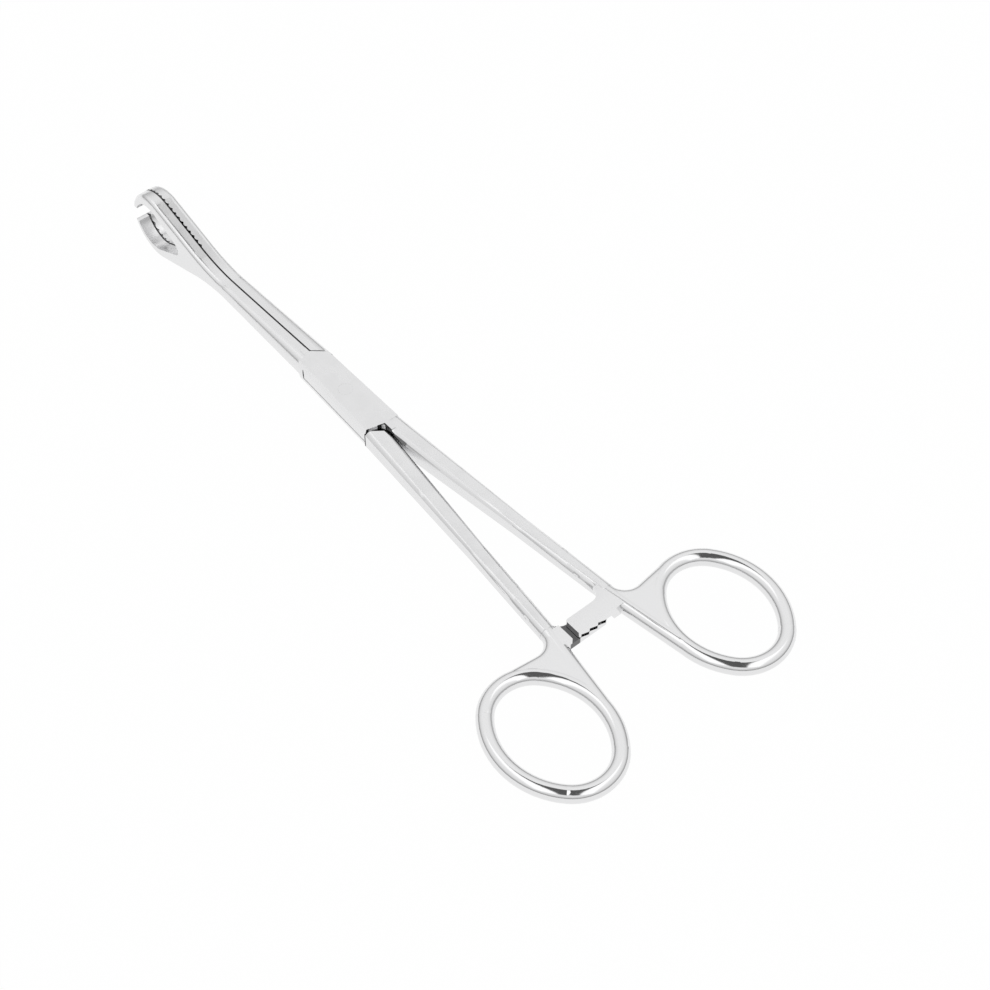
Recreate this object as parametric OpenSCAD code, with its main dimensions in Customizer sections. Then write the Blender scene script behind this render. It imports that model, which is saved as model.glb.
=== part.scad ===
// Ring-handled piercing forceps with slotted jaws, a box lock and a ratchet.
// The origin is under the middle of the closed forceps, level with the jaws' lowest point.
// +X runs to the jaw tips and +Z is along the pivot; the shapes are drawn about the pivot's middle.
// The box arm carries the +Y jaw and the -Y finger ring, and the tongue arm the other two.

/* [Lock] */
// Half thickness of the box lock along the pivot axis
lock_half_t = 2.7; // [2.6:0.05:3]
// Half thickness of the tongue that passes through the box
tongue_half_t = 1.2; // [0.9:0.05:1.4]
// Radius of the tongue's round ends about the pivot
tongue_r = 11.2; // [11:0.1:11.4]
// Y of the lock's near flank at its front end
near_flank_front = 2.85; // [2.7:0.05:3]
// Y of the lock's near flank at its rear end
near_flank_rear = 3.85; // [3.7:0.05:4]
// Y of the lock's far flank
far_flank = -4.12; // [-4.2:0.02:-4]
// Radius to which the lock's flanks are crowned across their height
flank_round = 10; // [8:0.5:14]
// Running gap between the tongue and the box that it passes through
lock_gap = 0.08; // [0.05:0.01:0.15]
// Distance from the pivot to the front shoulder's corner on the seam
shoulder_x = 13.3; // [13:0.1:13.8]
// Angle of the front shoulder to the forceps' length
front_shoulder_angle = 48; // [45:1:52]
// Distance from the pivot to the tongue arm's rear shoulder in the middle
rear_shoulder_x = 14.42; // [14.2:0.05:14.8]
// Angle of the tongue arm's rear shoulder to the forceps' length
rear_shoulder_angle = 53; // [50:1:56]
// Distance from the pivot to the box's rear edge in the middle
notch_x = 12.5; // [12.2:0.1:12.8]
// Angle of the box's rear edge to the forceps' length
notch_angle = 74; // [70:1:78]
// Distance from the forceps' middle to the box arm's edge behind the box
notch_y = 0.25; // [0.15:0.05:0.4]
// Radius of the shoulders' rounded corners
shoulder_round = 1.8; // [1.2:0.1:2.1]
// Radius of the rivet
pin_r = 1.5; // [1.2:0.1:2]
// Radial clearance of the rivet in the tongue
pin_fit = 0.05; // [0.02:0.01:0.1]
// Radial clearance of the rivet in the box's two walls
pin_seat = 0.01; // [0.01:0.01:0.03]

/* [Jaws] */
// Y of the plane on which the two jaws meet
seam_y = -0.91; // [-1:0.01:-0.8]
// Gap between the arms along the seam when closed
seam_gap = 0.12; // [0.08:0.02:0.2]
// Distance from the pivot to the centre of the jaws' round ends
paddle_x = 67.2; // [66.8:0.1:67.6]
// Radius of the jaws' round ends
paddle_r = 8; // [7.8:0.1:8.4]
// Angle of the jaws' straight flanks to their length
paddle_angle = 17.5; // [17:0.1:18]
// Length of the straight flanks
paddle_flank = 13.6; // [13.2:0.1:14]
// Radius of the hollow curve from the flanks to the jaw shank
neck_r = 36; // [34:1:38]
// Radius of the jaws' rounded outer edges
paddle_round = 1.2; // [1:0.05:1.3]
// Width of the flat along the jaws' and jaw shanks' upper and lower edges
edge_flat = 1.6; // [1.4:0.05:1.7]
// Distance from the round end's centre forward to the centre of the slot's wide end
slot_ahead = 0.7; // [0.4:0.1:1]
// Radius of the slot's wide end
slot_r = 5.6; // [5.2:0.1:5.7]
// Distance between the centres of the slot's wide end and its narrow end
slot_len = 8.3; // [7.4:0.1:8.6]
// Radius of the slot's narrow end
slot_end_r = 2; // [1.6:0.1:2.4]
// Half width of the slot's open mouth at the tips
mouth_half = 1.9; // [1.5:0.1:2.3]
// Radius of the rounded tips beside the mouth
tip_round = 0.8; // [0.5:0.1:0.9]
// Distance from the round end's centre forward to the foremost tooth groove
tooth_ahead = 6.2; // [5.8:0.1:6.4]
// Spacing of the tooth grooves
tooth_pitch = 1.3; // [1.2:0.05:1.35]
// Number of tooth grooves in each jaw
tooth_count = 17; // [12:1:17]
// Depth of the tooth grooves
tooth_depth = 0.45; // [0.3:0.05:0.6]
// Width of the plain rim round the near jaw's grooves
rim_w = 0.4; // [0.3:0.05:0.6]

/* [Handles] */
// Gap of each handle to the forceps' middle behind the lock
middle_gap = 0.12; // [0.08:0.02:0.2]
// Y at which a handle's centre line would cross the pivot
handle_y0 = 0.743; // [0.7:0.01:0.8]
// Angle of each closed handle to the forceps' length
handle_angle = 5.33; // [5.2:0.05:5.5]
// Half width of a handle at the lock
handle_w_lock = 2.3; // [2.2:0.05:2.4]
// Half width of the flat on top of a handle at the lock
flat_lock = 1.1; // [1:0.05:1.3]
// Half width of a handle at its slimmest
handle_w_mid = 1.58; // [1.5:0.02:1.66]
// Half thickness of a handle from its slimmest place on
handle_t_mid = 1.69; // [1.6:0.01:1.72]
// Half width of the flat on top of a handle from its slimmest place on
handle_flat = 0.95; // [0.8:0.05:1.1]
// Distance from the pivot to a handle's slimmest place
handle_mid_x = 48; // [44:1:54]

/* [Finger rings] */
// Distance from the pivot to the centre of a ring
ring_x = 88.07; // [87.6:0.1:88.6]
// Distance from the forceps' middle to the centre of a ring
ring_y = 21.08; // [20.8:0.1:21.4]
// Half length of a ring's centre line
ring_a = 13.68; // [13.4:0.05:14]
// Half breadth of a ring's centre line
ring_b = 10.8; // [10.6:0.05:11]
// Bending radius of a ring's centre line at its two ends
ring_end_r = 9; // [8.8:0.1:9.2]
// Tilt of a ring's length to the forceps' length
ring_tilt = 2.1; // [1:0.1:3]
// Radius of a ring's wire
wire_r = 1.72; // [1.66:0.02:1.8]
// Bending radius of the throat between a handle and its ring, to its centre line
throat_r = 5; // [4.6:0.1:5.4]
// Tilt of the throat's straight stretch across the forceps
throat_tilt = 7; // [5:0.5:9]

/* [Ratchet] */
// Distance from the pivot to the front side of the ratchet bars
ratchet_x = 71.6; // [71.2:0.1:72]
// Width of a ratchet bar along the forceps
ratchet_w = 4; // [3.6:0.1:4.4]
// Distance that each bar reaches past the forceps' middle
ratchet_reach = 3.6; // [3.4:0.1:4]
// Distance from the forceps' middle to the step above each bar
step_y = 5.3; // [5:0.1:5.6]
// Gap between the two bars where they face each other
ratchet_gap = 0.14; // [0.1:0.02:0.3]
// Spacing of the ratchet teeth
ratchet_pitch = 2.1; // [1.8:0.05:2.2]
// Depth of the ratchet teeth
ratchet_depth = 0.8; // [0.5:0.05:0.9]
// Number of ratchet teeth on each bar
ratchet_count = 3; // [2:1:3]
// Radius of the hollow corner between a handle and its bar
ratchet_fillet = 2.4; // [1.8:0.1:2.8]
// Radius of the corners at the bars' free ends
ratchet_round = 0.5; // [0.3:0.1:0.8]

/* [Hidden] */
$fn = 48;
steel = "gainsboro";
// Reach of the shapes that only cut or bound others
far = 120;
// Depth to which pieces of one forging run into each other
bite = 0.3;
// Stretches of one outline overlap by lap, the next one smaller by step than the one it enters
lap = 0.12;
step = 0.006;
// Flat outer faces are ground down by this, so they meet their rounded borders in a fine edge
trim = 0.03;

// Seam faces of the two arms, and the cavity in which the tongue turns
near_face_y = seam_y + seam_gap / 2;
far_face_y = seam_y - seam_gap / 2;
cavity_half_t = tongue_half_t + lock_gap;
cavity_r = tongue_r + 2 * lock_gap;
// The tongue's edges stay this far inside the lock's crowned flanks
tongue_inset = 0.15;
// The block's ends lie under the jaw shank and the handle that grow out of it
block_front = 12.6;
block_rear = 12.4;
block_seam_x = 14.6;
block_seam_y = 0.6;
block_step_y = 1.5;
// The block's sides lie beyond its crowned flanks
block_y = 2 - 1.5 * far_flank;
// The notch behind the box runs out over the handle before the ratchet
notch_reach = 20;
link_x = 5;
link_front = 15.5;
link_rear = 17;
near_slope = (near_flank_front - near_flank_rear) / (2 * tongue_r);
near_mid_y = (near_flank_front + near_flank_rear) / 2;

slot_x = paddle_x + slot_ahead;
slot_end_x = slot_x - slot_len;
tooth_x = paddle_x + tooth_ahead;

// Jaw outline in X-Z: round end, straight flank, hollow neck
flank_top = [paddle_x - paddle_r * sin(paddle_angle), paddle_r * cos(paddle_angle)];
flank_end = flank_top - paddle_flank * dir(paddle_angle);
neck_c = flank_end + neck_r * [-sin(paddle_angle), cos(paddle_angle)];
neck_half_t = neck_c[1] - neck_r;
jaw_t = edge_flat + paddle_round;
edge_band = paddle_round + 0.6;
core_inset = (edge_band - 0.05) * [sin(paddle_angle), -cos(paddle_angle)];
core_z = max(0.1, neck_half_t - edge_band + 0.05);
// Jaw shank section: rounding and flat half height, tapering from the lock to the neck
shank_x = 12;
shank_far_x = 9;
shank_flat_z = neck_half_t - paddle_round;
lock_round = lock_half_t - 0.04 - shank_flat_z;
tip_z = mouth_half + tip_round;
tip_c = [paddle_x + sqrt(pow(paddle_r - tip_round, 2) - tip_z * tip_z), tip_z];
tip_a = atan2(tip_z, tip_c[0] - paddle_x);
slot_a = asin((slot_r - slot_end_r) / (slot_x - slot_end_x));
groove_w = 0.9 * tooth_pitch;

// Handle on the +Y side: its line, and the ring, branch and throat it ends in
handle_start = 10.5;
handle_t_lock = lock_half_t - 0.05;
handle_w_end = wire_r - 0.02;
flat_end = 0.45;
handle_d = dir(180 - handle_angle);
handle_n = dir(90 - handle_angle);
ring_c = [-ring_x, ring_y];
end_off = ring_a - ring_end_r;
side_r = (pow(end_off, 2) + pow(ring_b, 2) - pow(ring_end_r, 2)) / (2 * (ring_b - ring_end_r));
side_off = side_r - ring_b;
join_a = atan2(side_off, end_off);
// Branch and throat are a little slimmer than the ring's wire, in which they end
branch_r = wire_r - 0.05;
throat_w = wire_r - 0.1;
throat_top = ring_c + end_off * dir(ring_tilt) + ring_end_r * dir(-throat_tilt);
throat_u = dir(-90 - throat_tilt);
throat_a = throat_top + throat_r * dir(-throat_tilt);
throat_b = [0, handle_y0] + throat_r * handle_n;
throat_s = cross(throat_b - throat_a, handle_d) / cross(throat_u, handle_d);
throat_c = throat_a + throat_s * throat_u;
// The straight handle ends where the throat leaves it
handle_end = throat_c - throat_r * handle_n;
handle_len = norm(handle_end - [0, handle_y0]);
to_side = ring_c + side_off * dir(90 + ring_tilt) - handle_end;
branch_len = sqrt(to_side * to_side - side_r * side_r);
branch_a = atan2(to_side[1], to_side[0]) + asin(side_r / norm(to_side));
web_half_t = 0.92 * wire_r;
fillet_y = handle_y0 + (ratchet_x - ratchet_fillet) * tan(handle_angle) - handle_w_end - ratchet_fillet;

// Where the pivot's middle stands in the part's frame: half the length is on each side of the origin
front_x = tip_c[0] + tip_round;
rear_x = ring_x + end_off * cos(ring_tilt) + ring_end_r + wire_r;
pivot_pos = [(rear_x - front_x) / 2, 0, paddle_r];

// Unit vector at an angle in plan
function dir(a) = [cos(a), sin(a)];

// Rounding of a jaw shank's outer edges at a distance from the pivot
function shank_round(x) = paddle_round
    + (lock_round - paddle_round) * (neck_c[0] - x) / (neck_c[0] - shank_x);

// Y of the near flank at a distance along the forceps
function near_flank(x) = near_mid_y + near_slope * x;

// An outline drawn in X-Z, given thickness from y0 to y1
module along_y(y0, y1) {
    translate([0, y1, 0])
        rotate([90, 0, 0])
            linear_extrude(y1 - y0)
                children();
}

// An outline drawn in X-Y, given thickness from z0 to z1
module along_z(z0, z1) {
    translate([0, 0, z0])
        linear_extrude(z1 - z0)
            children();
}

// Section of a jaw's border: its edge at x = 0, its seam face at y = 0, the outer edge rounded.
// An inset makes it that much smaller, so it can end inside the next stretch.
module band_section(w, inset) {
    translate([inset, 0])
        square([w - inset, edge_flat]);
    translate([paddle_round, 0])
        square([w - paddle_round, jaw_t - inset]);
    translate([paddle_round, edge_flat])
        circle(paddle_round - inset, $fn = 24);
}

// Border along the straight flank and the hollow neck on a jaw's upper side
module upper_band() {
    lap_a = lap / neck_r * 180 / PI;
    translate([flank_top[0], 0, flank_top[1]])
        rotate([0, -90 - paddle_angle, 0])
            translate([0, 0, -lap])
                linear_extrude(paddle_flank + lap)
                    mirror([1, 0])
                        band_section(edge_band, step);
    translate([neck_c[0], 0, neck_c[1]])
        rotate([-90, 0, 0])
            rotate([0, 0, 90 - paddle_angle - lap_a])
                rotate_extrude(angle = paddle_angle + 2 * lap_a)
                    translate([neck_r, 0])
                        band_section(edge_band, 2 * step);
}

// Solid jaw without slot and teeth, its seam face at y = 0
module jaw_blank() {
    intersection() {
        jaw_form();
        translate([0, 0, -far])
            cube([far, jaw_t - trim, 2 * far]);
    }
}

// The jaw's form before its outer face is ground flat
module jaw_form() {
    top = flank_top + core_inset;
    low = flank_end + core_inset;
    translate([paddle_x, 0, 0])
        rotate([-90, 0, 0])
            rotate_extrude()
                translate([paddle_r, 0])
                    mirror([1, 0])
                        band_section(paddle_r - slot_r / 2, 0);
    upper_band();
    mirror([0, 0, 1])
        upper_band();
    along_y(0, jaw_t)
        polygon([
            [neck_c[0] - lap, core_z], low, top, [paddle_x, 0],
            [top[0], -top[1]], [low[0], -low[1]], [neck_c[0] - lap, -core_z]
        ]);
}

// Jaw shank from x0 to the neck, its seam face at y = 0
module jaw_shank(x0) {
    x1 = neck_c[0];
    r0 = shank_round(x0);
    intersection() {
        union() {
            for (side = [-1, 1])
                translate([x0, edge_flat, side * shank_flat_z])
                    rotate([0, 90, 0])
                        cylinder(h = x1 - x0, r1 = r0, r2 = paddle_round);
            along_y(0, edge_flat)
                polygon([
                    [x0, shank_flat_z + r0], [x1, neck_half_t],
                    [x1, -neck_half_t], [x0, -shank_flat_z - r0]
                ]);
            along_z(-shank_flat_z, shank_flat_z)
                polygon([[x0, 0], [x1, 0], [x1, jaw_t], [x0, edge_flat + r0]]);
        }
        along_z(-far, far)
            polygon([[x0, 0], [x1, 0], [x1, jaw_t - trim], [x0, edge_flat + r0 - trim]]);
    }
}

// Slot through a jaw, open at the tips, widened all round by grow
module slot_outline(grow) {
    wide = slot_r + grow;
    slim = slot_end_r + grow;
    n = dir(90 + slot_a);
    translate([slot_x, 0])
        circle(wide);
    translate([slot_end_x, 0])
        circle(slim);
    polygon([
        [slot_x + wide * n[0], wide * n[1]], [slot_end_x + slim * n[0], slim * n[1]],
        [slot_end_x + slim * n[0], -slim * n[1]], [slot_x + wide * n[0], -wide * n[1]]
    ]);
    translate([slot_x, -mouth_half - grow])
        square([paddle_r + 1, 2 * (mouth_half + grow)]);
}

// What is cut away in front of the rounded tips
module tip_outline() {
    edge = (paddle_r + 1) * dir(tip_a);
    difference() {
        polygon([
            [tip_c[0], -tip_z], [paddle_x + edge[0], -edge[1]], [paddle_x + paddle_r + 2, 0],
            [paddle_x + edge[0], edge[1]], tip_c
        ]);
        for (side = [-1, 1])
            translate([tip_c[0], side * tip_z])
                circle(tip_round);
    }
}

// Tooth grooves across the seam face, as long as the jaw is high
module grooves() {
    for (i = [0 : tooth_count - 1])
        along_z(-paddle_r - 1, paddle_r + 1)
            translate([tooth_x - i * tooth_pitch, 0])
                polygon([
                    [-groove_w / 2, -bite], [groove_w / 2, -bite], [groove_w / 2, 0],
                    [0, tooth_depth], [-groove_w / 2, 0]
                ]);
}

// Field of the near jaw's grooves, inside a plain rim
module tooth_field() {
    rim = rim_w * [sin(paddle_angle), -cos(paddle_angle)];
    top = flank_top + rim;
    low = flank_end + rim;
    along_y(-1, tooth_depth + 1)
        difference() {
            union() {
                translate([paddle_x, 0])
                    circle(paddle_r - rim_w);
                polygon([
                    low, top, [paddle_x, 0], [top[0], -top[1]], [low[0], -low[1]]
                ]);
            }
            slot_outline(rim_w);
        }
}

// One jaw with its shank, seam face at y = 0; a rimmed jaw has no grooves in its border
module jaw(x0, rimmed) {
    difference() {
        union() {
            jaw_blank();
            jaw_shank(x0);
        }
        along_y(-1, jaw_t + 1) {
            slot_outline(0);
            tip_outline();
        }
        if (rimmed)
            intersection() {
                grooves();
                tooth_field();
            }
        else
            grooves();
    }
}

// Wedge in plan from one direction round to another, with its corner rounded, widened by grow
module corner_region(corner, from_a, to_a, reach, grow) {
    mid = (from_a + to_a) / 2;
    c = corner + shoulder_round / sin((to_a - from_a) / 2) * dir(mid);
    r = shoulder_round + grow;
    a = c + r * dir(from_a - 90);
    b = c + r * dir(to_a + 90);
    translate(c)
        circle(r);
    polygon([a, a + reach * dir(from_a), c + 2 * reach * dir(mid), b + reach * dir(to_a), b]);
}

// Plan region in front of the front shoulder
module front_region(grow) {
    corner_region([shoulder_x, far_face_y], front_shoulder_angle - 180, 0, far, grow);
}

// The lock's outer form between its crowned flanks
module flanks() {
    slope_a = atan(near_slope);
    intersection() {
        translate([0, near_mid_y - flank_round / cos(slope_a), 0])
            rotate([0, 0, slope_a])
                rotate([0, 90, 0])
                    cylinder(h = far, r = flank_round, center = true);
        translate([0, far_flank + flank_round, 0])
            rotate([0, 90, 0])
                cylinder(h = far, r = flank_round, center = true);
    }
}

// Block of the lock in which the box is cut
module lock_block() {
    intersection() {
        along_z(-lock_half_t, lock_half_t)
            difference() {
                polygon([
                    [block_front, block_y], [-block_seam_x, block_y], [-block_seam_x, -block_step_y],
                    [-block_rear, -block_step_y], [-block_rear, -block_y], [block_seam_x, -block_y],
                    [block_seam_x, block_seam_y], [block_front, block_seam_y]
                ]);
                front_region(seam_gap);
            }
        flanks();
    }
}

// Space in which the tongue turns
module cavity() {
    along_z(-cavity_half_t, cavity_half_t) {
        circle(cavity_r);
        translate([0, near_face_y - far])
            square([link_front + 4, far]);
        translate([-link_rear - 4, -middle_gap])
            square([link_rear + 4, far]);
    }
}

// Tongue with the links to its thick jaw shank and handle
module tongue() {
    near = near_mid_y - tongue_inset;
    along_z(-tongue_half_t, tongue_half_t)
        intersection() {
            polygon([
                [far, near + near_slope * far], [-far, near - near_slope * far],
                [-far, far_flank + tongue_inset], [far, far_flank + tongue_inset]
            ]);
            union() {
                circle(tongue_r);
                translate([link_x, far_face_y - far])
                    square([link_front - link_x, far]);
                translate([-link_rear, middle_gap])
                    square([link_rear - link_x, far]);
            }
        }
}

// One stretch of a handle between two stations, each [distance, half width, half thickness, flat]
module bar(a, b) {
    l = b[0] - a[0];
    translate([a[0], 0, 0])
        intersection() {
            along_z(-far, far)
                polygon([[0, a[1]], [l, b[1]], [l, -b[1]], [0, -a[1]]]);
            along_y(-far, far)
                polygon([[0, a[2]], [l, b[2]], [l, -b[2]], [0, -a[2]]]);
            rotate([0, 90, 0])
                cylinder(h = l, r1 = norm([a[2], a[3]]), r2 = norm([b[2], b[3]]));
        }
}

// Straight handle from the lock to the ring's branch
module handle_bar() {
    mid = [handle_mid_x, handle_w_mid, handle_t_mid, handle_flat];
    translate([0, handle_y0, 0])
        rotate([0, 0, 180 - handle_angle]) {
            bar([handle_start, handle_w_lock, handle_t_lock, flat_lock], mid);
            bar(mid, [handle_len, handle_w_end, handle_t_mid, flat_end]);
        }
}

// An arc of wire in plan about the origin
module wire_arc(r, w, a0, sweep) {
    rotate([0, 0, a0])
        rotate_extrude(angle = sweep)
            translate([r, 0])
                circle(w, $fn = 24);
}

// Finger ring: a four-arc oval of wire about its centre
module ring() {
    lap_a = lap / side_r * 180 / PI;
    for (turn = [0, 180])
        rotate([0, 0, turn]) {
            translate([end_off, 0, 0])
                wire_arc(ring_end_r, wire_r, -join_a, 2 * join_a);
            translate([0, -side_off, 0])
                wire_arc(side_r, wire_r - step, join_a - lap_a, 180 - 2 * (join_a - lap_a));
        }
}

// The ring's inside, up to its wire's centre line less the bite
module ring_inside() {
    join_x = end_off + (ring_end_r - bite) * cos(join_a);
    for (side = [-1, 1])
        translate([side * end_off, 0])
            circle(ring_end_r - bite);
    intersection() {
        translate([0, side_off])
            circle(side_r - bite);
        translate([0, -side_off])
            circle(side_r - bite);
        square([2 * join_x, far], center = true);
    }
}

// Ring with the branch and the throat that join it to its handle, and the web between them
module ring_end() {
    sweep = 90 - handle_angle + throat_tilt;
    lap_a = lap / throat_r * 180 / PI;
    translate(ring_c)
        rotate([0, 0, ring_tilt])
            ring();
    translate(handle_end)
        rotate([0, 0, branch_a])
            rotate([0, 90, 0])
                translate([0, 0, -bite])
                    cylinder(h = branch_len + bite, r = branch_r);
    translate(throat_top)
        rotate([0, 0, -90 - throat_tilt])
            rotate([0, 90, 0])
                cylinder(h = throat_s, r = throat_w);
    translate(throat_c)
        wire_arc(throat_r, throat_w - step, 180 - throat_tilt - lap_a, sweep + 2 * lap_a);
    along_z(-web_half_t, web_half_t)
        difference() {
            polygon([
                handle_end, handle_end + branch_len * dir(branch_a), ring_c, throat_top,
                throat_top + throat_s * throat_u, throat_c
            ]);
            translate(throat_c)
                circle(throat_r);
            translate(ring_c)
                rotate([0, 0, ring_tilt])
                    ring_inside();
        }
}

// Outline of a ratchet bar with its rounded end, and the hollow corner at the handle
module ratchet_outline() {
    r = ratchet_round;
    translate([-ratchet_x - ratchet_w, r - ratchet_reach])
        square([ratchet_w, ratchet_reach + step_y + 2 - r]);
    translate([r - ratchet_x - ratchet_w, -ratchet_reach])
        square([ratchet_w - 2 * r, 1]);
    for (x = [-ratchet_x - r, r - ratchet_x - ratchet_w])
        translate([x, r - ratchet_reach])
            circle(r);
    difference() {
        translate([-ratchet_x - bite, fillet_y])
            square([ratchet_fillet + bite, ratchet_fillet + handle_w_end]);
        translate([ratchet_fillet - ratchet_x, fillet_y])
            circle(ratchet_fillet);
    }
}

// Ratchet bar of the +Y handle, below the other handle's bar, its teeth on top
module ratchet() {
    difference() {
        along_z(-web_half_t, -ratchet_gap / 2)
            ratchet_outline();
        translate([-ratchet_x - ratchet_w - 1, 0, 0])
            rotate([90, 0, 90])
                linear_extrude(ratchet_w + 2)
                    for (k = [0 : ratchet_count - 1])
                        translate([ratchet_round + k * ratchet_pitch - ratchet_reach, -ratchet_gap / 2])
                            polygon([
                                [0, bite], [0, -ratchet_depth], [ratchet_pitch - 0.25, 0],
                                [ratchet_pitch - 0.25, bite]
                            ]);
    }
    translate([-ratchet_x - ratchet_w, step_y, -web_half_t])
        cube([ratchet_w, 2.2, 2 * web_half_t]);
}

// Ring and ratchet bar at the end of the handle on the +Y side
module grip() {
    ring_end();
    ratchet();
}

// Arm with the box: the +Y jaw, the lock's walls, and the -Y handle and ring
module box_arm() {
    color(steel)
        translate(pivot_pos)
            difference() {
                union() {
                    lock_block();
                    translate([0, near_face_y, 0])
                        jaw(shank_x, true);
                    rotate([180, 0, 0]) {
                        handle_bar();
                        grip();
                    }
                }
                cavity();
                along_z(-far, far)
                    corner_region([-notch_x, -notch_y], notch_angle, 180, notch_reach, 0);
                cylinder(h = far, r = pin_r + pin_seat, center = true);
            }
}

// Arm with the tongue: the -Y jaw, and the +Y handle and ring
module tongue_arm() {
    color(steel)
        translate(pivot_pos)
            difference() {
                union() {
                    tongue();
                    intersection() {
                        translate([0, far_face_y, 0])
                            mirror([0, 1, 0])
                                jaw(shank_far_x, false);
                        along_z(-far, far)
                            front_region(0);
                    }
                    intersection() {
                        handle_bar();
                        along_z(-far, far)
                            corner_region([-rear_shoulder_x, middle_gap], rear_shoulder_angle, 180, far, 0);
                    }
                    grip();
                }
                cylinder(h = far, r = pin_r + pin_fit, center = true);
            }
}

// Rivet on which the tongue turns, ground flush with the box's faces
module pivot_pin() {
    color(steel)
        translate(pivot_pos)
            cylinder(h = 2 * lock_half_t, r = pin_r, center = true);
}

box_arm();
tongue_arm();
pivot_pin();
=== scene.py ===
"""Looks of the piercing forceps: finished steel surfaces, studio, camera."""

import logging
import math
from dataclasses import dataclass, field
from enum import Enum

import bpy
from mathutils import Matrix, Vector


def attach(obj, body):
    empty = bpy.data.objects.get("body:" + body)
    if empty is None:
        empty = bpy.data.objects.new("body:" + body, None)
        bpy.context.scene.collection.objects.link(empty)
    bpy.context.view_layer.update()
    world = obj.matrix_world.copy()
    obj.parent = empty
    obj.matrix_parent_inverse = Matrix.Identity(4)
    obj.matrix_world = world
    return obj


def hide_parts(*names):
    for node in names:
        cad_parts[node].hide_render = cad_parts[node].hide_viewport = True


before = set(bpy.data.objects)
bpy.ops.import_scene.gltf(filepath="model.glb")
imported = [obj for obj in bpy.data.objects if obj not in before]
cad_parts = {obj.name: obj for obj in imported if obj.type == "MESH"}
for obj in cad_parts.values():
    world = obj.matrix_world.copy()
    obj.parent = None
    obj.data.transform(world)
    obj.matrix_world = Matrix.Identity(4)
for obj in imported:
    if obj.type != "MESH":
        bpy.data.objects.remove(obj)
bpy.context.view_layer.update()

LOG = logging.getLogger("forceps")
MM = 0.001


class Surface(Enum):
    """Kinds of surface that the forging's parts are finished to."""

    SATIN = "satin"
    POLISHED = "polished"


@dataclass(frozen=True)
class Seam:
    """Line along which shade is painted into the steel, where the forgings meet or the ratchet bar is sunk, seen from
    above.

    Attributes:
        start: First end of the line, X and Y in metres.
        end: Other end of the line.
        reach: Distance from the line at which the painted shade ends, in metres.
        top: Height above which no shade is painted, in metres.
        low: Height below which none is painted.
        strength: Share of the painted shade in the steel's colour.
        walls: Whether the shade is painted on the gap's own walls too, or on its rims alone.
    """

    start: tuple[float, float]
    end: tuple[float, float]
    reach: float
    top: float = 1.0
    low: float = -1.0
    strength: float = 1.0
    walls: bool = True


# Lines along which shade is painted into the steel: the dark gaps where the forgings meet, and the ratchet bar's
# recess
JAW_SEAM = Seam((0.02769, -0.00091), (0.0900, -0.00091), 0.21 * MM, strength=0.95, walls=False)
FRONT_SHOULDER = Seam((0.02769, -0.00091), (0.0247, -0.0043), 0.14 * MM)
REAR_SHOULDER = Seam((0.00189, -0.00025), (0.0023, 0.0011), 0.16 * MM)
HANDLE_GAP = Seam((0.00189, -0.00025), (-0.0010, -0.00025), 0.22 * MM, strength=0.97)
HANDLE_EDGE = Seam((-0.0010, -0.00022), (-0.0045, -0.00055), 0.24 * MM, low=0.0097, strength=0.8)
HANDLE_RIM = Seam((-0.0045, -0.00055), (-0.0140, -0.00145), 0.20 * MM, low=0.0099, strength=0.5)
TONGUE_CHEEK = Seam((0.00160, -0.00005), (0.0031, 0.0047), 0.34 * MM, top=0.01045)
RATCHET_ROOT = Seam((-0.0572, 0.0045), (-0.0613, 0.0045), 1.35 * MM, top=0.00796, strength=0.87)


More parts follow.
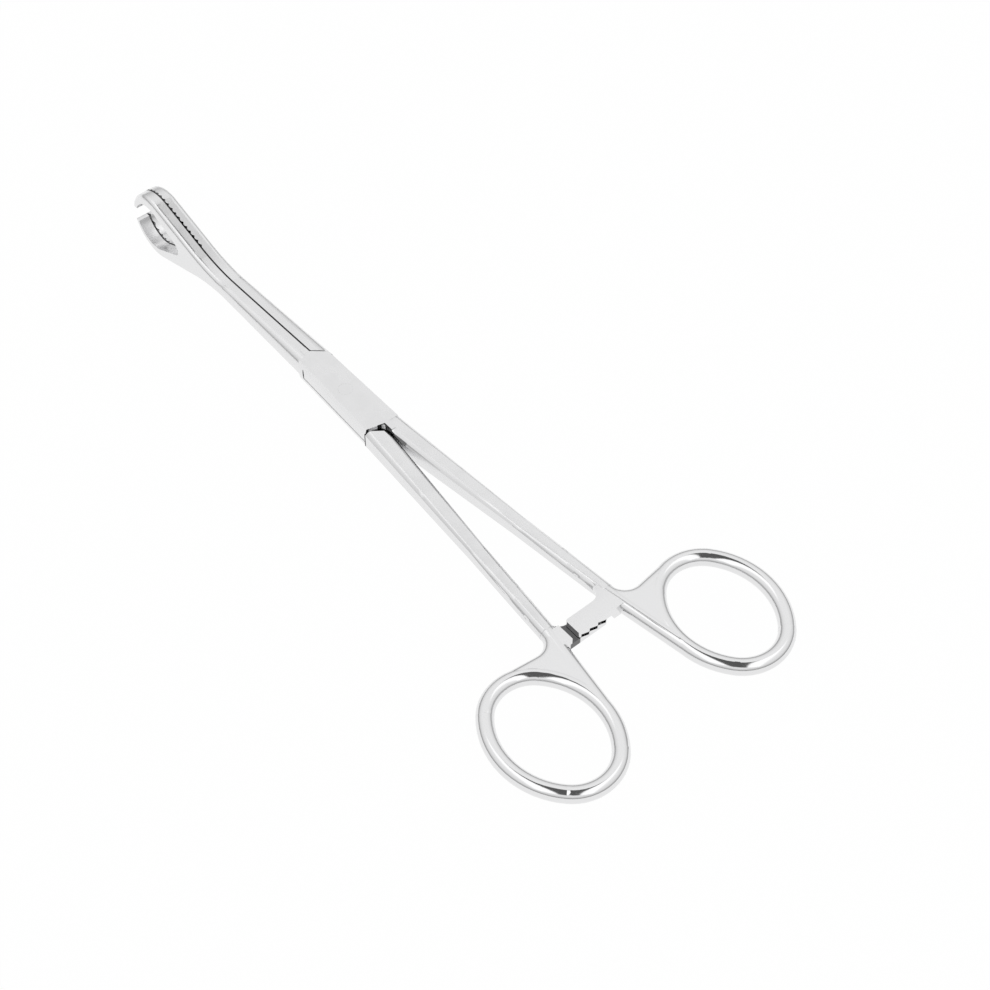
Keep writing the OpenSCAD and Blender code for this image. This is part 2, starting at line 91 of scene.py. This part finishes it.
@dataclass(frozen=True)
class SteelFinish:
    """Stainless steel, satin on its flats and polished on its rounds and rings.

    Attributes:
        name: Name of the material.
        tint: Reflected colour of the steel, linear.
        roughness: Roughness of each kind of surface.
        ring_x: X at which the polish of the rings is full, in metres.
        handle_x: X at which that polish begins, in metres.
        grain_depth: Height of the satin grain, in metres.
        seams: Lines along which shade is painted into the steel.
        painted_seam_shade: Colour of the painted shade along those lines, linear.
    """

    name: str
    tint: tuple[float, float, float] = (0.80, 0.80, 0.805)
    satin_roughness: float = 0.30
    polished_roughness: float = 0.09
    ring_x: float = -0.064
    handle_x: float = -0.052
    grain_depth: float = 0.000003
    seams: tuple[Seam, ...] = ()
    painted_seam_shade: tuple[float, float, float] = (0.025, 0.025, 0.026)

    def roughness(self, surface: Surface) -> float:
        """Returns the roughness of one kind of surface."""
        return self.satin_roughness if surface is Surface.SATIN else self.polished_roughness

    def material(self) -> bpy.types.Material:
        """Builds the node material.

        Returns:
            The finished material.
        """
        mat = bpy.data.materials.new(self.name)
        mat.use_nodes = True
        nodes, links = mat.node_tree.nodes, mat.node_tree.links
        nodes.clear()
        out = nodes.new("ShaderNodeOutputMaterial")
        steel = nodes.new("ShaderNodeBsdfPrincipled")
        links.new(steel.outputs["BSDF"], out.inputs["Surface"])
        steel.inputs["Metallic"].default_value = 1.0
        steel.inputs["IOR"].default_value = 1.45
        where = nodes.new("ShaderNodeTexCoord")
        # How far into the ring's polished zone, along the forceps
        split = nodes.new("ShaderNodeSeparateXYZ")
        links.new(where.outputs["Object"], split.inputs[0])
        zone = self._range(nodes, self.handle_x, self.ring_x, 0.0, 1.0)
        links.new(split.outputs["X"], zone.inputs["Value"])
        # Rounds are polished: the normal leaves the flats' direction
        facing = nodes.new("ShaderNodeNewGeometry")
        turn = nodes.new("ShaderNodeSeparateXYZ")
        links.new(facing.outputs["Normal"], turn.inputs[0])
        lift = nodes.new("ShaderNodeMath")
        lift.operation = "ABSOLUTE"
        links.new(turn.outputs["Z"], lift.inputs[0])
        rounds = self._range(nodes, 0.97, 0.80, 0.0, 0.35)
        links.new(lift.outputs[0], rounds.inputs["Value"])
        polish = nodes.new("ShaderNodeMath")
        polish.operation = "MAXIMUM"
        links.new(zone.outputs["Result"], polish.inputs[0])
        links.new(rounds.outputs["Result"], polish.inputs[1])
        # Grain drawn out along the forceps
        along = nodes.new("ShaderNodeMapping")
        along.inputs["Scale"].default_value = (220.0, 3800.0, 3800.0)
        links.new(where.outputs["Object"], along.inputs["Vector"])
        grain = nodes.new("ShaderNodeTexNoise")
        grain.inputs["Scale"].default_value = 1.0
        grain.inputs["Detail"].default_value = 3.0
        links.new(along.outputs["Vector"], grain.inputs["Vector"])
        # Soft clouds of wear, a few millimetres across
        cloud = nodes.new("ShaderNodeTexNoise")
        cloud.inputs["Scale"].default_value = 260.0
        cloud.inputs["Detail"].default_value = 2.0
        links.new(where.outputs["Object"], cloud.inputs["Vector"])
        rough = nodes.new("ShaderNodeMix")
        rough.data_type = "FLOAT"
        rough.inputs["A"].default_value = self.roughness(Surface.SATIN)
        rough.inputs["B"].default_value = self.roughness(Surface.POLISHED)
        links.new(polish.outputs[0], rough.inputs["Factor"])
        vary = self._range(nodes, 0.3, 0.7, 0.86, 1.14)
        links.new(cloud.outputs["Fac"], vary.inputs["Value"])
        uneven = nodes.new("ShaderNodeMath")
        uneven.operation = "MULTIPLY"
        links.new(rough.outputs["Result"], uneven.inputs[0])
        links.new(vary.outputs["Result"], uneven.inputs[1])
        links.new(uneven.outputs[0], steel.inputs["Roughness"])
        # The tint follows the grain a little
        tone = nodes.new("ShaderNodeMix")
        tone.data_type = "RGBA"
        low = tuple(c * 0.965 for c in self.tint)
        tone.inputs["A"].default_value = (*low, 1.0)
        tone.inputs["B"].default_value = (*self.tint, 1.0)
        links.new(grain.outputs["Fac"], tone.inputs["Factor"])
        # Painted shade: the steel's colour darkens along the seams, where the gaps and the ratchet bar's recess lie
        # in shade
        shade = nodes.new("ShaderNodeMix")
        shade.data_type = "RGBA"
        shade.inputs["B"].default_value = (*self.painted_seam_shade, 1.0)
        links.new(tone.outputs["Result"], shade.inputs["A"])
        links.new(self._seams(nodes, links, where.outputs["Object"], split.outputs["Z"]), shade.inputs["Factor"])
        links.new(shade.outputs["Result"], steel.inputs["Base Color"])
        # Grain relief, on the satin only
        relief = self._range(nodes, 0.0, 1.0, 0.55, 0.06)
        links.new(polish.outputs[0], relief.inputs["Value"])
        bump = nodes.new("ShaderNodeBump")
        bump.inputs["Distance"].default_value = self.grain_depth
        links.new(relief.outputs["Result"], bump.inputs["Strength"])
        links.new(grain.outputs["Fac"], bump.inputs["Height"])
        links.new(bump.outputs["Normal"], steel.inputs["Normal"])
        return mat

    def _seams(self, nodes: bpy.types.Nodes, links: bpy.types.NodeLinks, where: bpy.types.NodeSocket,
               height: bpy.types.NodeSocket) -> bpy.types.NodeSocket:
        """Marks where shade is painted, along the edges of the gaps and over the ratchet bar's recess.

        Args:
            nodes: Nodes of the material.
            links: Links of the material.
            where: Socket with the place on the object.
            height: Socket with its height.

        Returns:
            A socket with the painted shade's share along the seams, and 0 elsewhere.
        """
        flat = nodes.new("ShaderNodeVectorMath")
        flat.operation = "MULTIPLY"
        flat.inputs[1].default_value = (1.0, 1.0, 0.0)
        links.new(where, flat.inputs[0])
        total = nodes.new("ShaderNodeMath")
        total.operation = "MAXIMUM"
        total.inputs[0].default_value = 0.0
        total.inputs[1].default_value = 0.0
        for seam in self.seams:
            run = Vector((seam.end[0] - seam.start[0], seam.end[1] - seam.start[1], 0.0))
            start = Vector((*seam.start, 0.0))
            share = nodes.new("ShaderNodeVectorMath")
            share.operation = "DOT_PRODUCT"
            share.inputs[1].default_value = run / run.length_squared
            links.new(flat.outputs["Vector"], share.inputs[0])
            held = nodes.new("ShaderNodeMath")
            held.operation = "SUBTRACT"
            held.use_clamp = True
            held.inputs[1].default_value = start.dot(run) / run.length_squared
            links.new(share.outputs["Value"], held.inputs[0])
            foot = nodes.new("ShaderNodeVectorMath")
            foot.operation = "MULTIPLY_ADD"
            foot.inputs[0].default_value = run
            foot.inputs[2].default_value = start
            links.new(held.outputs[0], foot.inputs[1])
            away = nodes.new("ShaderNodeVectorMath")
            away.operation = "DISTANCE"
            links.new(flat.outputs["Vector"], away.inputs[0])
            links.new(foot.outputs["Vector"], away.inputs[1])
            near = self._range(nodes, 0.8 * seam.reach, seam.reach, seam.strength, 0.0)
            links.new(away.outputs["Value"], near.inputs["Value"])
            below = self._range(nodes, seam.top, seam.top + 0.1 * MM, 1.0, 0.0)
            links.new(height, below.inputs["Value"])
            above = self._range(nodes, seam.low - 0.5 * MM, seam.low, 0.0, 1.0)
            links.new(height, above.inputs["Value"])
            level = nodes.new("ShaderNodeMath")
            level.operation = "MULTIPLY"
            links.new(below.outputs["Result"], level.inputs[0])
            links.new(above.outputs["Result"], level.inputs[1])
            both = nodes.new("ShaderNodeMath")
            both.operation = "MULTIPLY"
            links.new(near.outputs["Result"], both.inputs[0])
            links.new(level.outputs[0], both.inputs[1])
            if not seam.walls:
                rim = nodes.new("ShaderNodeMath")
                rim.operation = "MULTIPLY"
                links.new(both.outputs[0], rim.inputs[0])
                links.new(self._rims(nodes, links), rim.inputs[1])
                both = rim
            most = nodes.new("ShaderNodeMath")
            most.operation = "MAXIMUM"
            links.new(total.outputs[0], most.inputs[0])
            links.new(both.outputs[0], most.inputs[1])
            total = most
        return total.outputs[0]

    def _rims(self, nodes: bpy.types.Nodes, links: bpy.types.NodeLinks) -> bpy.types.NodeSocket:
        """Leaves out of the painted shade the faces that look along Y, such as the jaws' gripping faces.

        Args:
            nodes: Nodes of the material.
            links: Links of the material.

        Returns:
            A socket that is 0 on those faces and 1 elsewhere.
        """
        where = nodes.new("ShaderNodeTexCoord")
        turn = nodes.new("ShaderNodeSeparateXYZ")
        links.new(where.outputs["Normal"], turn.inputs[0])
        size = nodes.new("ShaderNodeMath")
        size.operation = "ABSOLUTE"
        links.new(turn.outputs["Y"], size.inputs[0])
        keep = self._range(nodes, 0.985, 0.94, 0.0, 1.0)
        links.new(size.outputs[0], keep.inputs["Value"])
        return keep.outputs["Result"]

    @staticmethod
    def _range(nodes: bpy.types.Nodes, a: float, b: float, to_a: float, to_b: float) -> bpy.types.Node:
        """Adds a smooth range node.

        Args:
            nodes: Nodes of the material.
            a: Value that becomes to_a.
            b: Value that becomes to_b.
            to_a: Result at a.
            to_b: Result at b.

        Returns:
            The new node.
        """
        node = nodes.new("ShaderNodeMapRange")
        node.interpolation_type = "SMOOTHSTEP"
        node.inputs["From Min"].default_value = a
        node.inputs["From Max"].default_value = b
        node.inputs["To Min"].default_value = to_a
        node.inputs["To Max"].default_value = to_b
        return node


def deselect_all() -> None:
    """Leaves object mode with nothing selected."""
    if bpy.context.object is not None and bpy.context.object.mode != "OBJECT":
        bpy.ops.object.mode_set(mode="OBJECT")
    bpy.ops.object.select_all(action="DESELECT")


@dataclass
class ForgedPiece:
    """One forging of the instrument, dressed over its solid.

    Attributes:
        node: Name of the solid that it stands for.
        body: Name of the body that it rides on.
        slot: Material slot of the record; not used.
        finish: The steel's finish.
        edge: Width to which sharp edges are broken, at most, in metres.
        smooth_angle: Angle under which neighbouring faces shade as one, in degrees.
    """

    node: str
    body: str
    slot: str
    finish: SteelFinish
    edge: float = 0.07 * MM
    smooth_angle: float = 32.0
    piece: bpy.types.Object | None = field(default=None, init=False)

    def build(self) -> bpy.types.Object:
        """Copies the solid's surface, joins its faces and shades them.

        Returns:
            The finished piece.
        """
        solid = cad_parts[self.node]
        mesh = solid.data.copy()
        self.piece = bpy.data.objects.new(f"{self.node}_forging", mesh)
        bpy.context.scene.collection.objects.link(self.piece)
        self._join_faces()
        self._shade()
        self._break_edges()
        self._flatten()
        return self.piece

    def _select(self) -> None:
        """Makes the piece the only selected object."""
        deselect_all()
        self.piece.select_set(True)
        bpy.context.view_layer.objects.active = self.piece

    def _join_faces(self) -> None:
        """Merges the loose triangles and joins those that lie in one plane."""
        self._select()
        bpy.ops.object.mode_set(mode="EDIT")
        bpy.ops.mesh.select_all(action="SELECT")
        bpy.ops.mesh.remove_doubles(threshold=0.000002)
        bpy.ops.mesh.dissolve_limited(angle_limit=math.radians(0.6))
        bpy.ops.object.mode_set(mode="OBJECT")

    def _break_edges(self) -> None:
        """Breaks the sharp edges by a hair, as polishing leaves them."""
        self._select()
        bevel = self.piece.modifiers.new("edges", "BEVEL")
        bevel.width = self.edge
        bevel.segments = 2
        bevel.limit_method = "ANGLE"
        bevel.angle_limit = math.radians(40.0)
        bevel.use_clamp_overlap = True
        bevel.harden_normals = True
        bpy.ops.object.modifier_apply(modifier=bevel.name)

    def _shade(self) -> None:
        """Shades the rounds smooth and keeps the edges between the faces."""
        self._select()
        bpy.ops.object.shade_smooth_by_angle(angle=math.radians(self.smooth_angle))

    def _flatten(self) -> None:
        """Lets the wide faces shade flat, and the narrow ones carry the turn."""
        self._select()
        weigh = self.piece.modifiers.new("flats", "WEIGHTED_NORMAL")
        weigh.mode = "FACE_AREA"
        weigh.weight = 50
        weigh.keep_sharp = True
        bpy.ops.object.modifier_apply(modifier=weigh.name)

    def dress(self) -> None:
        """Gives the piece its steel, its body and its place among the pieces."""
        self.piece.data.materials.clear()
        self.piece.data.materials.append(self.finish.material())
        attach(self.piece, self.body)
        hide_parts(self.node)


@dataclass
class Rivet:
    """The flush rivet: its solid stays and takes its steel.

    Attributes:
        node: Name of the solid.
        finish: The steel's finish.
    """

    node: str
    finish: SteelFinish

    def dress(self) -> None:
        """Gives the rivet its steel."""
        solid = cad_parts[self.node]
        mat = self.finish.material()
        if solid.material_slots:
            for held in solid.material_slots:
                held.material = mat
        else:
            solid.data.materials.append(mat)


@dataclass
class Forceps:
    """The whole instrument: two forgings and the rivet between them."""

    arms: list[ForgedPiece]
    rivet: Rivet

    def build(self) -> None:
        """Builds and dresses each piece in turn."""
        for arm in self.arms:
            arm.build()
            arm.dress()
            LOG.info("%s: %d faces", arm.piece.name, len(arm.piece.data.polygons))
        self.rivet.dress()
        LOG.info("%s dressed", self.rivet.node)


@dataclass(frozen=True)
class Studio:
    """White studio with a pale floor, and the camera at the photograph's angle.

    Attributes:
        eye: Camera position, in metres.
        azimuth: Direction from the object to the camera, in radians.
        elevation: Height of that direction, in radians.
        lens: Focal length, in millimetres.
        floor_size: Side of the floor, in metres.
        tent: Light of the tent from straight down to straight up, as place and grey.
        slit_foot: Heights between which the dark slit begins.
        slit_top: Reach towards the camera between which the slit begins, beyond the zenith.
        slit_end: Reach towards the camera between which it ends.
        slit_half: Half width of the slit.
        slit_light: Light of the slit.
        panel_half: Half width of the bright panels on both sides of the slit.
        panel_light: Light of those panels.
    """

    eye: tuple[float, float, float] = (-0.216129, 0.154897, 0.313662)
    azimuth: float = 2.4402446729
    elevation: float = 0.8844257327
    lens: float = 73.217
    floor_size: float = 6.0
    tent: tuple[tuple[float, float], ...] = (
        (0.0, 0.9), (0.48, 0.75), (0.505, 0.36), (0.56, 0.42), (0.63, 0.66), (0.70, 0.86), (0.80, 0.94), (0.88, 1.0), (1.0, 1.0),
    )
    slit_foot: tuple[float, float] = (0.42, 0.52)
    slit_top: tuple[float, float] = (-0.42, -0.32)
    slit_end: tuple[float, float] = (0.78, 0.66)
    slit_half: float = 0.20
    slit_light: float = 0.11
    panel_half: float = 0.55
    panel_light: float = 1.3

    def camera(self) -> None:
        """Adds the camera."""
        bpy.ops.object.camera_add(location=self.eye)
        cam = bpy.context.object
        cam.name = "camera"
        level = math.cos(self.elevation)
        back = Vector((math.cos(self.azimuth) * level, math.sin(self.azimuth) * level, math.sin(self.elevation)))
        cam.rotation_mode = "QUATERNION"
        cam.rotation_quaternion = (-back).to_track_quat("-Z", "Y")
        cam.data.lens = self.lens
        cam.data.sensor_width = 36.0
        cam.data.clip_start = 0.01
        cam.data.clip_end = 50.0
        bpy.context.scene.camera = cam

    def floor(self) -> None:
        """Adds the pale floor, white to the camera and in reflections."""
        deselect_all()
        bpy.ops.mesh.primitive_plane_add(size=self.floor_size, location=(0, 0, -0.0004))
        plane = bpy.context.object
        plane.name = "floor"
        bpy.ops.object.mode_set(mode="EDIT")
        bpy.ops.mesh.select_all(action="SELECT")
        bpy.ops.mesh.subdivide(number_cuts=3)
        bpy.ops.object.mode_set(mode="OBJECT")
        bpy.ops.object.transform_apply(location=True, rotation=False, scale=False)
        mat = bpy.data.materials.new("pale_floor")
        mat.use_nodes = True
        nodes, links = mat.node_tree.nodes, mat.node_tree.links
        nodes.clear()
        out = nodes.new("ShaderNodeOutputMaterial")
        matt = nodes.new("ShaderNodeBsdfDiffuse")
        matt.inputs["Color"].default_value = (0.95, 0.95, 0.95, 1.0)
        white = nodes.new("ShaderNodeEmission")
        white.inputs["Strength"].default_value = 1.0
        rays = nodes.new("ShaderNodeLightPath")
        seen = self._seen(nodes, links, rays)
        share = nodes.new("ShaderNodeMath")
        share.operation = "MULTIPLY"
        share.inputs[1].default_value = 0.98
        links.new(seen, share.inputs[0])
        mix = nodes.new("ShaderNodeMixShader")
        links.new(share.outputs[0], mix.inputs["Fac"])
        links.new(matt.outputs[0], mix.inputs[1])
        links.new(white.outputs[0], mix.inputs[2])
        links.new(mix.outputs[0], out.inputs["Surface"])
        plane.data.materials.append(mat)

    @staticmethod
    def _seen(nodes: bpy.types.Nodes, links: bpy.types.NodeLinks, rays: bpy.types.Node) -> bpy.types.NodeSocket:
        """Joins the camera, glossy and transmission rays.

        Args:
            nodes: Nodes of the material or world.
            links: Links of the same.
            rays: Its Light Path node.

        Returns:
            A socket that is 1 for those rays.
        """
        first = nodes.new("ShaderNodeMath")
        first.operation = "MAXIMUM"
        links.new(rays.outputs["Is Camera Ray"], first.inputs[0])
        links.new(rays.outputs["Is Glossy Ray"], first.inputs[1])
        both = nodes.new("ShaderNodeMath")
        both.operation = "MAXIMUM"
        links.new(first.outputs[0], both.inputs[0])
        links.new(rays.outputs["Is Transmission Ray"], both.inputs[1])
        return both.outputs[0]

    def world(self) -> None:
        """Lights the room as a white tent, with a dark slit on the side that the photograph was taken from."""
        world = bpy.data.worlds.new("studio")
        bpy.context.scene.world = world
        world.use_nodes = True
        nodes, links = world.node_tree.nodes, world.node_tree.links
        nodes.clear()
        out = nodes.new("ShaderNodeOutputWorld")
        where = nodes.new("ShaderNodeTexCoord")
        way = where.outputs["Generated"]
        split = nodes.new("ShaderNodeSeparateXYZ")
        links.new(way, split.inputs[0])
        height = nodes.new("ShaderNodeMapRange")
        height.inputs["From Min"].default_value = -1.0
        height.inputs["From Max"].default_value = 1.0
        links.new(split.outputs["Z"], height.inputs["Value"])
        ramp = nodes.new("ShaderNodeValToRGB")
        band = ramp.color_ramp
        while len(band.elements) < len(self.tent):
            band.elements.new(0.5)
        for element, (pos, grey) in zip(band.elements, self.tent):
            element.position = pos
            element.color = (grey, grey, grey, 1.0)
        links.new(height.outputs["Result"], ramp.inputs["Fac"])
        toward = (math.cos(self.azimuth), math.sin(self.azimuth), 0.0)
        across = (-math.sin(self.azimuth), math.cos(self.azimuth), 0.0)
        ahead = self._along(nodes, links, way, toward)
        side = nodes.new("ShaderNodeMath")
        side.operation = "ABSOLUTE"
        links.new(self._along(nodes, links, way, across), side.inputs[0])
        high = self._step(nodes, links, split.outputs["Z"], *self.slit_foot)
        near = self._times(nodes, links, self._step(nodes, links, ahead, *self.slit_top),
                           self._step(nodes, links, ahead, *self.slit_end))
        slit = self._times(nodes, links, self._times(nodes, links, high, near),
                           self._step(nodes, links, side.outputs[0], self.slit_half + 0.03, self.slit_half - 0.03))
        panel = self._times(nodes, links, self._times(nodes, links, high, near),
                            self._step(nodes, links, side.outputs[0], self.panel_half + 0.08, self.panel_half - 0.08))
        lit = self._blend(nodes, links, panel, ramp.outputs["Color"], self.panel_light)
        dark = self._blend(nodes, links, slit, lit, self.slit_light)
        room = nodes.new("ShaderNodeBackground")
        links.new(dark, room.inputs["Color"])
        white = nodes.new("ShaderNodeBackground")
        white.inputs["Color"].default_value = (1.0, 1.0, 1.0, 1.0)
        rays = nodes.new("ShaderNodeLightPath")
        mix = nodes.new("ShaderNodeMixShader")
        links.new(rays.outputs["Is Camera Ray"], mix.inputs["Fac"])
        links.new(room.outputs[0], mix.inputs[1])
        links.new(white.outputs[0], mix.inputs[2])
        links.new(mix.outputs[0], out.inputs["Surface"])

    @staticmethod
    def _along(nodes: bpy.types.Nodes, links: bpy.types.NodeLinks, way: bpy.types.NodeSocket,
               axis: tuple[float, float, float]) -> bpy.types.NodeSocket:
        """Measures a direction along an axis of the room.

        Args:
            nodes: Nodes of the world.
            links: Links of the world.
            way: Socket that holds the direction.
            axis: The axis, of length 1.

        Returns:
            A socket with the direction's share along the axis.
        """
        dot = nodes.new("ShaderNodeVectorMath")
        dot.operation = "DOT_PRODUCT"
        dot.inputs[1].default_value = axis
        links.new(way, dot.inputs[0])
        return dot.outputs["Value"]

    @staticmethod
    def _step(nodes: bpy.types.Nodes, links: bpy.types.NodeLinks, value: bpy.types.NodeSocket,
              zero: float, one: float) -> bpy.types.NodeSocket:
        """Turns a value into a soft step.

        Args:
            nodes: Nodes of the world.
            links: Links of the world.
            value: Socket that holds the value.
            zero: Value at which the step is 0.
            one: Value at which the step is 1.

        Returns:
            The step's socket.
        """
        node = nodes.new("ShaderNodeMapRange")
        node.interpolation_type = "SMOOTHSTEP"
        node.inputs["From Min"].default_value = zero
        node.inputs["From Max"].default_value = one
        links.new(value, node.inputs["Value"])
        return node.outputs["Result"]

    @staticmethod
    def _times(nodes: bpy.types.Nodes, links: bpy.types.NodeLinks, a: bpy.types.NodeSocket,
               b: bpy.types.NodeSocket) -> bpy.types.NodeSocket:
        """Multiplies two sockets and returns the product's socket."""
        node = nodes.new("ShaderNodeMath")
        node.operation = "MULTIPLY"
        links.new(a, node.inputs[0])
        links.new(b, node.inputs[1])
        return node.outputs[0]

    @staticmethod
    def _blend(nodes: bpy.types.Nodes, links: bpy.types.NodeLinks, share: bpy.types.NodeSocket,
               under: bpy.types.NodeSocket, grey: float) -> bpy.types.NodeSocket:
        """Lays a grey over a colour.

        Args:
            nodes: Nodes of the world.
            links: Links of the world.
            share: Socket with the grey's share.
            under: Socket with the colour beneath.
            grey: The grey's light.

        Returns:
            The socket of the result.
        """
        node = nodes.new("ShaderNodeMix")
        node.data_type = "RGBA"
        node.inputs["B"].default_value = (grey, grey, grey, 1.0)
        links.new(share, node.inputs["Factor"])
        links.new(under, node.inputs["A"])
        return node.outputs["Result"]

    def build(self) -> None:
        """Sets up the room, the floor and the camera."""
        self.world()
        self.floor()
        self.camera()
        bpy.context.scene.view_settings.view_transform = "Standard"


def main() -> None:
    """Builds the forceps and the studio, and reports each piece."""
    logging.basicConfig(level=logging.INFO, format="%(name)s %(message)s")
    box_steel = SteelFinish("box_steel", seams=(JAW_SEAM, FRONT_SHOULDER, REAR_SHOULDER, HANDLE_GAP, HANDLE_EDGE, HANDLE_RIM))
    tongue_steel = SteelFinish("tongue_steel", seams=(JAW_SEAM, FRONT_SHOULDER, TONGUE_CHEEK, RATCHET_ROOT))
    pin_steel = SteelFinish("pin_steel")
    forceps = Forceps(
        arms=[
            ForgedPiece("box_arm", "box_body", "satin_steel", box_steel),
            ForgedPiece("tongue_arm", "tongue_body", "satin_steel", tongue_steel),
        ],
        rivet=Rivet("pivot_pin", pin_steel),
    )
    forceps.build()
    Studio().build()
    LOG.info("studio set up")


if __name__ == "__main__":
    main()
